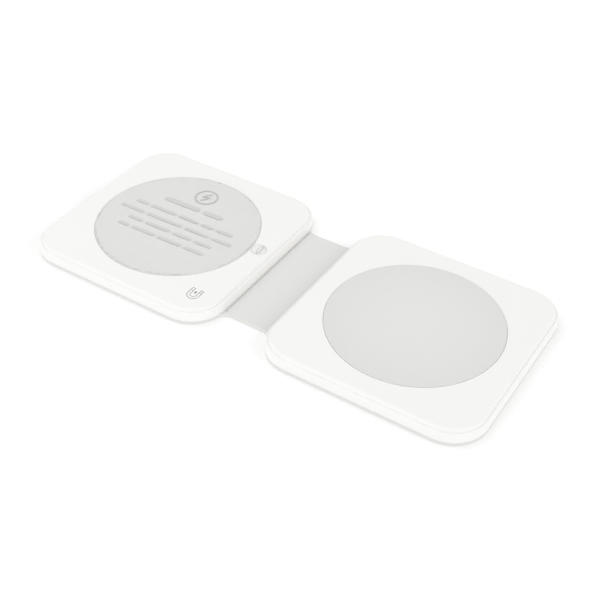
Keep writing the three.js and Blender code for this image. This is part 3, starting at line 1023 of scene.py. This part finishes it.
@dataclass
class Pad:
    """What the two pads share: skin, frame, cover and disc, drawn with the neck towards +X."""

    prefix: str
    body: Body
    centre_x: float
    turned: bool
    inlet: bool
    cable_up: float
    outline: PadOutline = field(default_factory=PadOutline)
    skin_t: float = 1.2
    skin_floor: float = 0.5
    skin_rim: float = 2.2
    skin_low_r: float = 0.2
    skin_high_r: float = 0.24
    neck_w: float = 50.0
    neck_fillet: float = 4.0
    gap: float = 17.6
    foot_out: float = 0.3
    foot_gap: float = 0.55
    foot_depth: float = 0.3
    foot_short: float = 0.5
    hinge_x: float = 4.7
    bend_reach: float = 2.4
    frame_in: float = 0.3
    frame_foot: float = 0.06
    frame_back: float = 2.0
    frame_top: float = 4.12
    frame_lean: Point2 = (0.03, 0.55)
    frame_round: Point2 = (0.42, 0.13)
    shoulder_z: float = 3.25
    seam_in: float = 1.0
    ledge_z: float = 4.0
    cover_in: float = 1.05
    cover_reach: float = 1.1
    cover_top: float = 5.0
    cover_steep: Point2 = (0.2, 0.5)
    cover_shallow: float = 0.42
    roof_z: float = 4.1
    disc_r: float = 28.0
    disc_seat: float = 4.6
    disc_top: float = 5.2
    disc_edge: float = 0.22
    disc_gap: float = 0.08
    disc_rings: tuple[float, ...] = (0.98, 0.9, 0.75, 0.55, 0.3, 0.1)
    middle_r: float = 6.0
    usb_w: float = 8.74
    usb_h: float = 2.96
    usb_z: float = 2.28
    lamp_y: float = 9.5
    lamp_z: float = 2.75
    lamp_r: float = 0.7
    past: float = 2.0
    steps: int = 8

    def to_place(self) -> Matrix:
        """The move from the pad's own drawing to its place in the part."""
        turn = Matrix.Rotation(math.pi if self.turned else 0.0, 4, "Z")
        return Matrix.Translation((self.centre_x * MM, 0, 0)) @ turn

    def named(self, name: str) -> str:
        """A piece's name with the pad's prefix."""
        return f"{self.prefix}_{name}"

    def finish(
        self, piece: Piece, slot: Slot, material: Material, nodes: Sequence[str]
    ) -> Piece:
        """Puts a piece in place on its pad.

        Args:
            piece: The piece, drawn about the pad's centre.
            slot: The record's slot for its finish; not used.
            material: Its material.
            nodes: The part's nodes that it stands for.

        Returns:
            The piece.
        """
        piece.data.transform(self.to_place())
        return install(piece, self.body, material, nodes)

    def mouth_tool(self) -> Piece:
        """The connector's mouth with a small chamfer where it meets the outside.

        Returns:
            The solid to cut away.
        """
        wall = -self.outline.half + self.frame_in
        wide, slack, chamfer, deep = 0.5, 0.08, 0.22, 5.0
        flare = ((-self.past, wide), (0.0, wide), (chamfer, slack), (deep, slack))
        rings = []
        for inward, grow in flare:
            slot = stadium(self.usb_w + 2 * grow, self.usb_h + 2 * grow)
            rings.append([(wall + inward, u, self.usb_z + v) for u, v in slot])
        return mesh_object("mouth_tool", rings, closed=False)

    def lamp_tool(self) -> Piece:
        """The round hole that the light guide looks out of.

        Returns:
            The solid to cut away.
        """
        start, length = -self.outline.half - self.past, 6.0
        hole = arc(0, 0, self.lamp_r, 0, 360, 32)[:-1]
        rings = [
            [(x, self.lamp_y + u, self.lamp_z + v) for u, v in hole] for x in (start, start + length)
        ]
        return mesh_object("lamp_tool", rings, closed=False)

    def skin_outline(self, inset: float) -> list[Point2]:
        """The pad with its half of the neck, set in by a distance except at the neck's end.

        Args:
            inset: The distance.

        Returns:
            The outline.
        """
        c = self.outline.half - self.outline.corner
        f = self.neck_fillet
        y = self.neck_w / 2
        rise = y + f - c
        fx = c + math.sqrt((self.outline.corner + f) ** 2 - rise**2)
        meet = math.degrees(math.atan2(rise, fx - c))
        end = self.outline.half + self.gap / 2
        r = self.outline.corner - inset
        g = f + inset
        fillet_steps, near_steps, far_steps = 12, 20, 24
        half = [(end, y - inset)]
        half += arc(fx, y + f, g, -90, meet - 180, fillet_steps)
        half += arc(c, c, r, meet, 90, near_steps)[1:]
        half += arc(-c, c, r, 90, 180, far_steps)
        return half + [(px, -py) for px, py in reversed(half)]

    def make_skin(self, material: Material, nodes: Sequence[str]) -> None:
        """Builds the soft skin with its half of the neck, cut across the neck in small steps.

        Args:
            material: The silicone.
            nodes: The part's nodes that it stands for.
        """
        top, low_r, high_r = self.skin_t, self.skin_low_r, self.skin_high_r
        section = arc(low_r, low_r, low_r, 270, 180, self.steps)
        section += arc(high_r, top - high_r, high_r, 180, 90, self.steps)
        rings = [level(self.skin_outline(inset), z) for inset, z in section]
        skin = mesh_object(self.named("soft_skin"), rings, closed=False)
        tray = prism("tray", self.outline.square(self.skin_rim), self.skin_floor, top + 1)
        x = self.outline.half + self.foot_out
        y = self.neck_w / 2 - self.foot_short
        channel = [(x, -y), (x + self.foot_gap, -y), (x + self.foot_gap, y), (x, y)]
        tools = [tray, prism("foot_channel", channel, top - self.foot_depth, top + 1)]
        if self.inlet:
            tools.append(self.mouth_tool())
        carve(skin, *tools)
        self.slice_neck(skin)
        smooth(skin)
        settle(skin)
        skin.data.transform(self.to_place())
        install(skin, None, material, nodes)
        bend_at_fold(skin)

    def slice_neck(self, piece: Piece) -> None:
        """Adds cuts across the neck, so that it can bend in small steps.

        Args:
            piece: The skin.
        """
        bm = bmesh.new()
        bm.from_mesh(piece.data)
        for i in range(1, NECK_STEPS):
            x = self.outline.half + self.gap / 2 * i / NECK_STEPS
            bmesh.ops.bisect_plane(
                bm,
                geom=list(bm.verts) + list(bm.edges) + list(bm.faces),
                plane_co=(x * MM, 0, 0),
                plane_no=(1, 0, 0),
                dist=1e-8,
            )
        bm.to_mesh(piece.data)
        bm.free()

    def make_frame(self, material: Material, nodes: Sequence[str]) -> None:
        """Builds the side frame with its soft shoulder and the ledge that the cover sits on.

        Args:
            material: The shell's plastic.
            nodes: The part's nodes that it stands for.
        """
        section = [(self.frame_back, self.skin_t), (self.frame_foot, self.skin_t)]
        lean = (self.frame_in + self.frame_lean[0], self.shoulder_z + self.frame_lean[1])
        round_off = (self.seam_in - self.frame_round[0], self.frame_top - self.frame_round[1])
        section += curve(
            (self.frame_in, self.shoulder_z), lean, round_off,
            (self.seam_in, self.frame_top), 2 * self.steps,
        )
        section += [(self.seam_in, self.ledge_z), (self.frame_back, self.ledge_z)]
        ring = self.outline.solid(self.named("side_frame"), section, closed=True)
        if self.inlet:
            carve(ring, self.mouth_tool(), self.lamp_tool())
        smooth(ring)
        self.finish(ring, Slot.SHELL, material, nodes)

    def make_cover(self, material: Material, nodes: Sequence[str]) -> None:
        """Builds the top cover with its soft edge and the round seat for the disc.

        Args:
            material: The shell's plastic.
            nodes: The part's nodes that it stands for.
        """
        square, circle = self.outline.square, self.outline.circle
        seat = self.disc_r + self.disc_gap
        lip, rim = 0.1, 0.5
        rings = [
            level(circle(self.middle_r), self.roof_z),
            level(square(self.frame_back), self.roof_z),
            level(square(self.frame_back), self.ledge_z),
        ]
        inside = self.cover_in + self.cover_reach
        steep = (self.cover_in + self.cover_steep[0], self.cover_top - self.cover_steep[1])
        shallow = (self.cover_in + self.cover_shallow, self.cover_top)
        edge = [(self.cover_in, self.ledge_z)]
        edge += curve(
            (self.cover_in, self.frame_top), steep, shallow, (inside, self.cover_top), 2 * self.steps
        )
        rings += [level(square(inset), z) for inset, z in edge]
        rings += [
            level(square(inside + rim), self.cover_top),
            level(circle(seat + rim), self.cover_top),
        ]
        brink = arc(seat + lip, self.cover_top - lip, lip, 90, 180, 4)
        rings += [level(circle(r), z) for r, z in brink]
        rings += [level(circle(seat), self.disc_seat), level(circle(self.middle_r), self.disc_seat)]
        cover = mesh_object(self.named("top_shell"), rings, closed=False)
        smooth(cover)
        self.finish(cover, Slot.SHELL, material, nodes)

    def make_disc(self, material: Material, nodes: Sequence[str]) -> None:
        """Builds the soft disc, rounded at its edge and a hair lower in the middle.

        Args:
            material: The silicone.
            nodes: The part's nodes that it stands for.
        """
        dish = bevel = 0.05
        circle = self.outline.circle
        rings = [level(circle(r), self.disc_seat) for r in (self.middle_r, self.disc_r - bevel)]
        rings.append(level(circle(self.disc_r), self.disc_seat + bevel))
        edge = arc(
            self.disc_r - self.disc_edge, self.disc_top - self.disc_edge, self.disc_edge,
            0, 90, self.steps,
        )
        rings += [level(circle(r), z) for r, z in edge]
        for share in self.disc_rings:
            z = self.disc_top - dish * math.cos(share * math.pi / 2) ** 2
            rings.append(level(circle((self.disc_r - self.disc_edge) * share), z))
        disc = mesh_object(self.named("soft_pad_disc"), rings, closed=False)
        smooth(disc)
        self.finish(disc, Slot.DISC, material, nodes)


def install(
    piece: Piece,
    body: Optional[Body],
    material: Material,
    nodes: Sequence[str] = (),
) -> Piece:
    """Gives a piece its material, its body and the nodes that it stands for.

    Args:
        piece: The piece, in its final place.
        body: The body it rides on, or None where it spans two and is attached to neither.
        material: Its material.
        nodes: The part's nodes that it stands for.

    Returns:
        The piece.
    """
    piece.data.materials.clear()
    piece.data.materials.append(material)
    if body:
        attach(piece, body.value)
    if nodes:
        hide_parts(*nodes)
    log.info("%s: %d faces", piece.name, len(piece.data.polygons))
    return piece


def bend_at_fold(piece: Piece) -> None:
    """Bakes a piece's place into its mesh.

    Args:
        piece: The skin or the cable.
    """
    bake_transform(piece)


# ---- Sub-assemblies ----
@dataclass
class FlatCable:
    """The flat cable moulded into the neck, one length for each side of its middle."""

    width: float = 12.0
    low: float = 0.52
    thick: float = 0.16
    up_to: float = 1.5
    bend: float = 0.7
    rise: float = 0.9

    def make(self, pad: Pad, material: Material, nodes: Sequence[str]) -> None:
        """Builds one length, from the neck's middle to the turn-up at its board.

        Args:
            pad: The pad it runs into.
            material: The cable's film.
            nodes: The part's nodes that it stands for.
        """
        up_at, half_pad, bend = pad.cable_up, pad.outline.half, self.bend
        end = half_pad + pad.gap / 2
        top = self.low + self.thick
        flat, spans = up_at + self.rise, 6
        stations = [flat + (half_pad - flat) * i / spans for i in range(spans + 1)]
        stations += [half_pad + pad.gap / 2 * i / NECK_STEPS for i in range(1, NECK_STEPS)]
        stations.append(end)
        lower = arc(up_at + bend, self.low + bend, bend, 180, 270, 6)
        upper = arc(up_at + bend, self.low + bend, bend - self.thick, 180, 270, 6)
        profile = [((up_at, self.up_to), (up_at + self.thick, self.up_to))]
        profile += list(zip(lower, upper))
        profile += [((x, self.low), (x, top)) for x in stations]
        half = self.width / 2
        rings = [
            [(a[0], -half, a[1]), (a[0], half, a[1]), (b[0], half, b[1]), (b[0], -half, b[1])]
            for a, b in profile
        ]
        cable = mesh_object(pad.named("flat_cable"), rings, closed=False)
        cable.data.transform(pad.to_place())
        smooth(cable)
        settle(cable)
        install(cable, None, material, nodes)
        bend_at_fold(cable)


@dataclass(frozen=True)
class PrintRow:
    """A level row of plain printed bars, from left to right at one level on the disc."""

    left: float
    right: float
    level: float
    shares: tuple[float, ...]
    height: float = 1.25
    space: float = 1.25

    def bars(self) -> list[list[Point2]]:
        """The bars' outlines, as long as their shares of the row.

        Returns:
            The outlines.
        """
        room = self.right - self.left - self.space * (len(self.shares) - 1)
        scale = room / sum(self.shares)
        x = self.left
        shapes = []
        for share in self.shares:
            shapes.append(bar(x + share * scale / 2, self.level, share * scale, self.height))
            x += share * scale + self.space
        return shapes


@dataclass
class PrintedFilm:
    """The clear film on the phone pad's disc, with its pull tab and its grey print."""

    pad: Pad
    radius: float = 27.75
    thick: float = 0.1
    tab_r: float = 2.7
    tab: Point2 = (30.8, 3.2)
    tab_spread: float = 5.2
    tab_turn: float = 105.0
    tab_line: float = 0.11
    body_steps: int = 200
    tab_steps: int = 40
    ring_steps: int = 48
    ink_t: float = 0.012
    skew: float = 1.4
    bolt_at: Point2 = (-0.6, 17.5)
    bolt_ring_r: float = 3.9
    bolt_ring_line: float = 0.55
    bolt_line: float = 0.6
    magnet_at: Point2 = (26.6, -27.0)
    magnet_outer: float = 2.06
    magnet_inner: float = 1.08
    magnet_tall: float = 2.7
    magnet_cap: float = 1.5
    magnet_line: float = 0.19
    cap_line: float = 0.16
    rows: tuple[PrintRow, ...] = (
        PrintRow(-12.5, 11.2, 9.75, (5.5, 3.0), 2.0, 1.5),
        PrintRow(-20.1, 19.6, 3.5, (3.0, 6.5, 5.0, 3.0, 4.0)),
        PrintRow(-23.1, 22.1, -1.1, (5.0, 7.5, 5.0, 4.0)),
        PrintRow(-16.7, 17.0, -5.5, (3.5, 6.0, 4.5, 4.0)),
        PrintRow(-17.6, 17.0, -9.9, (2.5, 5.5, 5.5, 4.5)),
    )

    def tab_outline(self) -> list[Point2]:
        """The film's outline: a circle that runs into a small round tab.

        Returns:
            The outline.
        """
        angle = math.degrees(math.atan2(self.tab[1], self.tab[0]))
        first, last = angle + self.tab_spread, angle + 360 - self.tab_spread
        body = arc(0, 0, self.radius, first, last, self.body_steps)
        turn = self.tab_turn
        return body + arc(*self.tab, self.tab_r, angle - turn, angle + turn, self.tab_steps)

    def make(
        self,
        film: Material,
        pale: Material,
        grey: Material,
        dark: Material,
    ) -> None:
        """Builds the film, the print on it and the mark on the cover beside it.

        Args:
            film: The clear film.
            pale: The rows' ink.
            grey: The pictogram's and the tab mark's ink.
            dark: The ink of the mark on the cover.
        """
        z = self.pad.disc_top
        sheet = prism(self.pad.named("film_sheet"), self.tab_outline(), z, z + self.thick)
        smooth(sheet)
        self.pad.finish(sheet, Slot.FILM, film, [self.pad.named("clear_film")])
        turn = math.radians(self.skew)
        c, s = math.cos(turn), math.sin(turn)
        for name, shapes, material in (
            ("film_pictogram", self.pictogram(), grey),
            ("film_rows", [one for row in self.rows for one in row.bars()], pale),
        ):
            turned = [[(x * c - y * s, x * s + y * c) for x, y in shape] for shape in shapes]
            self.ink(name, turned, z + self.thick, material)
        self.ink("film_tab_mark", self.peel_mark(), z + self.thick, grey)
        self.ink("magnet_mark", self.horseshoe(), self.pad.cover_top, dark)

    def ink(
        self, name: str, shapes: Sequence[Sequence[Point2]], z: float, material: Material
    ) -> None:
        """Lays flat shapes of ink on a surface as one piece.

        Args:
            name: The piece's name, without the pad's prefix.
            shapes: The shapes' outlines.
            z: The surface's height.
            material: The ink.
        """
        bm = bmesh.new()
        levels, rise = 5, 0.02  # neighbours overlap, so their tops differ by a hair
        for k, outline in enumerate(shapes):
            lift = self.ink_t * (1 + rise * (k % levels))
            low, high = (
                [bm.verts.new(Vector(point) * MM) for point in level(outline, height)]
                for height in (z, z + lift)
            )
            bm.faces.new(list(reversed(low)))
            bm.faces.new(high)
            for i in range(len(outline)):
                j = (i + 1) % len(outline)
                bm.faces.new((low[i], low[j], high[j], high[i]))
        piece = plain_object(self.pad.named(name), bm)
        self.pad.finish(piece, Slot.FILM, material, ())

    def pictogram(self) -> list[list[Point2]]:
        """A bolt in a ring, for charging.

        Returns:
            The outlines.
        """
        x, y = self.bolt_at
        ring = arc(x, y, self.bolt_ring_r, 0, 360, self.ring_steps)[:-1]
        shapes = stroke(ring, self.bolt_ring_line, closed=True)
        upper = [(0.7, 2.3), (-1.3, -0.25)]
        bolt = upper + [(-u, -v) for u, v in reversed(upper)]
        return shapes + stroke([(x + u, y + v) for u, v in bolt], self.bolt_line)

    def peel_mark(self) -> list[list[Point2]]:
        """A ring with a lifted edge drawn in it.

        Returns:
            The outlines.
        """
        x, y = self.tab
        ring = arc(x, y, self.tab_r - 0.25, 0, 360, self.ring_steps)[:-1]
        shapes = stroke(ring, self.tab_line, closed=True)
        high, low = (x + 0.45, y + 2.15), (x + 0.55, y - 2.15)
        for rise, width in ((0.95, 0.15), (-0.4, 0.2)):
            shapes += stroke(bow(low, high, rise), width)
        return shapes

    def horseshoe(self) -> list[list[Point2]]:
        """A horseshoe magnet in outline, open at the top, with a small mark inside.

        Returns:
            The outlines.
        """
        x, y = self.magnet_at
        outer, inner, tall, cap = (
            self.magnet_outer, self.magnet_inner, self.magnet_tall, self.magnet_cap
        )
        path = [(x - outer, y + tall)]
        path += arc(x, y, outer, 180, 360, 20)
        path += [(x + outer, y + tall), (x + inner, y + tall)]
        path += arc(x, y, inner, 0, -180, 16)
        path += [(x - inner, y + tall)]
        shapes = stroke(path, self.magnet_line, closed=True)
        for side in (-1, 1):
            ends = [(x + side * inner, y + cap), (x + side * outer, y + cap)]
            shapes += stroke(ends, self.cap_line)
        wide, high, lift = 0.32, 0.62, 1.15
        mark = arc(0, 0, 1, 0, 360, 20)[:-1]
        shapes.append([(x + wide * u, y + lift + high * v) for u, v in mark])
        return shapes


@dataclass
class Connector:
    """The USB-C receptacle: a rolled shell and a tongue with contacts."""

    pad: Pad
    wall: float = 0.2
    depth: float = 6.5
    tongue_w: float = 6.69
    tongue_t: float = 0.7
    tongue_l: float = 4.45
    root: float = 1.6
    set_back: float = 0.3
    lip: float = 0.08
    contact: Point3 = (3.4, 0.25, 0.04)
    contact_back: float = 2.3
    contact_pitch: float = 0.5
    contacts_per_face: int = 12

    @property
    def front(self) -> float:
        """Where the shell starts, along the pad's own X."""
        return -self.pad.outline.half + self.pad.frame_in + self.set_back

    def slot_ring(self, x: float, shrink: float) -> list[Point3]:
        """One stadium ring of the shell."""
        points = stadium(self.pad.usb_w - 2 * shrink, self.pad.usb_h - 2 * shrink, 16)
        return [(x, u, self.pad.usb_z + v) for u, v in points]

    def make(
        self, steel: Material, black: Material, gold: Material
    ) -> None:
        """Builds the shell, the tongue and the contacts.

        Args:
            steel: The shell's metal.
            black: The tongue's plastic.
            gold: The contacts' plating.
        """
        front, back, w, lip = self.front, self.front + self.depth, self.wall, self.lip
        rings = [
            self.slot_ring(back, 0), self.slot_ring(front + lip, 0), self.slot_ring(front, lip),
            self.slot_ring(front, w - 0.02), self.slot_ring(front + lip, w), self.slot_ring(back, w),
        ]
        shell = mesh_object(self.pad.named("usb_shell"), rings, closed=True)
        smooth(shell)
        self.pad.finish(shell, Slot.STEEL, steel, [self.pad.named("usb_c_shell")])
        root = back - self.root
        inside = w + 0.05
        ends = [self.slot_ring(root, inside), self.slot_ring(back, inside)]
        block = mesh_object(self.pad.named("usb_tongue"), ends, closed=False)
        carve(block, self.blade(root), operation="UNION")
        smooth(block)
        self.pad.finish(block, Slot.CHIP, black, [self.pad.named("usb_c_tongue")])
        self.contacts(root, gold)

    def blade(self, root: float) -> Piece:
        """The tongue's thin blade with a tapered tip.

        Args:
            root: Where the blade leaves its block.

        Returns:
            The blade.
        """
        w, t, z = self.tongue_w / 2, self.tongue_t / 2, self.pad.usb_z
        tip = root - self.tongue_l
        taper, narrower, thinner, overlap = 0.3, 0.25, 0.16, 0.4
        rings = []
        stations = ((tip, narrower, thinner), (tip + taper, 0.0, 0.0), (root + overlap, 0.0, 0.0))
        for x, sw, st in stations:
            rings.append([
                (x, -w + sw, z - t + st), (x, w - sw, z - t + st),
                (x, w - sw, z + t - st), (x, -w + sw, z + t - st),
            ])
        return mesh_object("blade", rings, closed=False)

    def contacts(self, root: float, gold: Material) -> None:
        """Lays rows of gold contacts on both faces of the tongue, as one piece.

        Args:
            root: Where the blade leaves its block.
            gold: The contacts' plating.
        """
        bm = bmesh.new()
        length, width, thick = self.contact
        size = Matrix.Diagonal((length * MM, width * MM, thick * MM, 1))
        for face in (-1, 1):
            z = self.pad.usb_z + face * (self.tongue_t / 2 + thick / 4)
            for k in range(self.contacts_per_face):
                y = (k - (self.contacts_per_face - 1) / 2) * self.contact_pitch
                place = Matrix.Translation(Vector((root - self.contact_back, y, z)) * MM)
                bmesh.ops.create_cube(bm, size=1.0, matrix=place @ size)
        piece = solid_from(self.pad.named("usb_contacts"), bm)
        self.pad.finish(piece, Slot.STEEL, gold, ())


@dataclass(frozen=True)
class Softbox:
    """A square soft light that faces the charger: its place in metres, side and watts."""

    name: str
    place: Point3
    size: float
    power: float

    def hang(self) -> None:
        """Puts the light in the scene."""
        data = bpy.data.lights.new(self.name, "AREA")
        data.size = self.size
        data.energy = self.power
        light = linked(self.name, data)
        light.location = self.place
        light.rotation_mode = "QUATERNION"
        light.rotation_quaternion = (-Vector(self.place)).to_track_quat("-Z", "Y")


@dataclass
class Studio:
    """The table, the soft lights and the camera."""

    aim: Point3 = (9.03, -8.31, 2.6)
    azimuth: float = 31.52
    elevation: float = 40.32
    roll: float = 1.55
    distance: float = 333.5
    lens: float = 63.56
    table_r: float = 4000.0
    table_gap: float = 0.02
    sky: float = 0.72
    lamps: tuple[Softbox, ...] = (
        Softbox("overhead", (-0.6, 0.15, 0.85), 0.8, 2.6),
        Softbox("front", (-0.25, -0.93, 0.2), 0.5, 2.45),
        Softbox("right", (1.3, 0.2, 0.75), 0.9, 6.4),
    )

    def floor(self, material: Material) -> None:
        """A wide round table top just under the charger.

        Args:
            material: The table's finish.
        """
        bm = bmesh.new()
        bmesh.ops.create_circle(bm, cap_ends=True, segments=96, radius=self.table_r * MM)
        top = plain_object("table_top", bm)
        top.data.materials.append(material)
        top.location = (0, 0, -self.table_gap * MM)

    def lights(self) -> None:
        """An even sky before a white backdrop, and soft lights overhead, in front and at the right."""
        world = bpy.data.worlds.new("pale_studio")
        world.use_nodes = True
        tree = world.node_tree
        sky = tree.nodes["Background"]
        sky.inputs["Color"].default_value = (1.0, 1.0, 0.995, 1.0)
        sky.inputs["Strength"].default_value = self.sky
        backdrop = tree.nodes.new("ShaderNodeBackground")
        backdrop.inputs["Color"].default_value = (1.0, 1.0, 1.0, 1.0)
        seen = tree.nodes.new("ShaderNodeLightPath")
        either = tree.nodes.new("ShaderNodeMixShader")
        tree.links.new(seen.outputs["Is Camera Ray"], either.inputs[0])
        tree.links.new(sky.outputs[0], either.inputs[1])
        tree.links.new(backdrop.outputs[0], either.inputs[2])
        tree.links.new(either.outputs[0], tree.nodes["World Output"].inputs["Surface"])
        bpy.context.scene.world = world
        for lamp in self.lamps:
            lamp.hang()

    def camera(self) -> None:
        """Looks down on the open charger from its near right."""
        data = bpy.data.cameras.new("camera")
        data.lens = self.lens
        data.sensor_width = 36.0
        data.clip_start = 0.01
        cam = linked("camera", data)
        a, e = math.radians(self.azimuth), math.radians(self.elevation)
        back = Vector((math.sin(a) * math.cos(e), -math.cos(a) * math.cos(e), math.sin(e)))
        side = Vector((0, 0, 1)).cross(back).normalized()
        above = back.cross(side)
        c, s = math.cos(math.radians(self.roll)), math.sin(math.radians(self.roll))
        right, up = c * side + s * above, c * above - s * side
        turn = Matrix((right, up, back)).transposed()
        place = (Vector(self.aim) + back * self.distance) * MM
        cam.matrix_world = Matrix.Translation(place) @ turn.to_4x4()
        bpy.context.scene.camera = cam


def dress_nodes(materials: dict[str, Material]) -> None:
    """Gives each of the part's own nodes its material, by node name.

    Args:
        materials: The materials.
    """
    for name, node in frame["nodes"].items():
        slot = node.material_slots[0]
        slot.link = "OBJECT"
        slot.material = materials[name]


def main() -> None:
    """Builds the charger, its table, its lights and its camera."""
    logging.basicConfig(level=logging.INFO, format="%(message)s")
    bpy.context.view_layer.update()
    bpy.context.scene.view_settings.view_transform = "Standard"

    white = Moulded((0.875, 0.871, 0.856)).dress("white_shell")
    grey = Silicone((0.729, 0.727, 0.714)).dress("grey_skin")
    black = Moulded((0.02, 0.02, 0.022), rough=0.5).dress("black_plastic")
    steel = Metal((0.62, 0.63, 0.64)).dress("stamped_steel")
    gold = Metal((0.85, 0.62, 0.27), rough=0.2).dress("gold_contact")
    # Each disc's glow paints a highlight towards its centre, stronger on the second disc.
    discs = {
        side: Silicone((0.705, 0.704, 0.693), 0.62, 0.004, 0.1, glow, (x, 0.0)).dress(f"{side}_disc")
        for side, x, glow in (("phone", PHONE_X, 0.03), ("second", -PHONE_X, 0.05))
    }

    finishes = {
        Slot.SHELL: white,
        Slot.SKIN: grey,
        Slot.DISC: discs["phone"],
        Slot.FILM: ClearSheet((0.95, 0.95, 0.94)).dress("clear_film"),
        Slot.PLATE: Moulded((0.7, 0.695, 0.68), rough=0.6).dress("inner_plate"),
        Slot.CARRIER: black,
        Slot.MAGNET: Metal((0.66, 0.65, 0.62), rough=0.2).dress("nickel_plating"),
        Slot.STEEL: steel,
        Slot.FERRITE: FerriteTile((0.035, 0.034, 0.034)).dress("ferrite_tile"),
        Slot.BOARD: CircuitBoard((0.012, 0.10, 0.04), (0.03, 0.19, 0.07)).dress("green_board"),
        Slot.CHIP: Package((0.02, 0.02, 0.022)).dress("chip_package"),
        Slot.INDUCTOR: Package((0.05, 0.05, 0.052), rough=0.65).dress("inductor_body"),
        Slot.CAPACITOR: Package((0.36, 0.22, 0.11), ends=(0.7, 0.7, 0.68)).dress("capacitor_body"),
        Slot.BEAD: Package((0.07, 0.075, 0.085)).dress("sensor_bead"),
        Slot.FLEX: PolyimideCable((0.42, 0.18, 0.03), (0.62, 0.3, 0.14)).dress("flat_cable"),
        Slot.LAMP: Lens((0.92, 0.9, 0.8), 0.0).dress("lamp_body"),
        Slot.GUIDE: Lens((0.95, 0.97, 0.98), 0.85).dress("light_guide"),
    }
    copper = {
        side: WoundWire((0.72, 0.34, 0.17), (x, 0.0)).dress(f"{side}_copper")
        for side, x in (("phone", PHONE_X), ("second", -PHONE_X))
    }
    slots = {row["node"]: row["material_slot"] for row in frame["record"]["subparts"]}
    by_node = {}
    for name in frame["nodes"]:
        slot = Slot(slots[name])
        by_node[name] = copper[name.split("_")[0]] if slot is Slot.COPPER else finishes[slot]
    dress_nodes(by_node)

    phone = Pad("phone", Body.PHONE, PHONE_X, turned=False, inlet=True, cable_up=-28.85)
    second = Pad("second", Body.SECOND, -PHONE_X, turned=True, inlet=False, cable_up=30.4)
    cable = FlatCable()
    for pad in (phone, second):
        skin_nodes = [pad.named("skin")]
        cable_nodes = [pad.named("flex_cable")]
        if pad is phone:
            skin_nodes.append("neck_band")
            cable_nodes.append("neck_flex_cable")
        pad.make_skin(grey, skin_nodes)
        pad.make_frame(white, [pad.named("frame")])
        pad.make_cover(white, [pad.named("top_cover")])
        pad.make_disc(discs[pad.prefix], [pad.named("soft_disc")])
        cable.make(pad, finishes[Slot.FLEX], cable_nodes)
    PrintedFilm(phone).make(
        finishes[Slot.FILM],
        Ink((0.61, 0.61, 0.605)).dress("pale_ink"),
        Ink((0.54, 0.54, 0.535)).dress("grey_ink"),
        Ink((0.2, 0.2, 0.2)).dress("dark_ink"),
    )
    Connector(phone).make(steel, black, gold)

    studio = Studio()
    studio.floor(TableTop((0.74, 0.74, 0.74), 0.25, 0.45).dress("pale_table"))
    studio.lights()
    studio.camera()


if __name__ == "__main__":
    main()
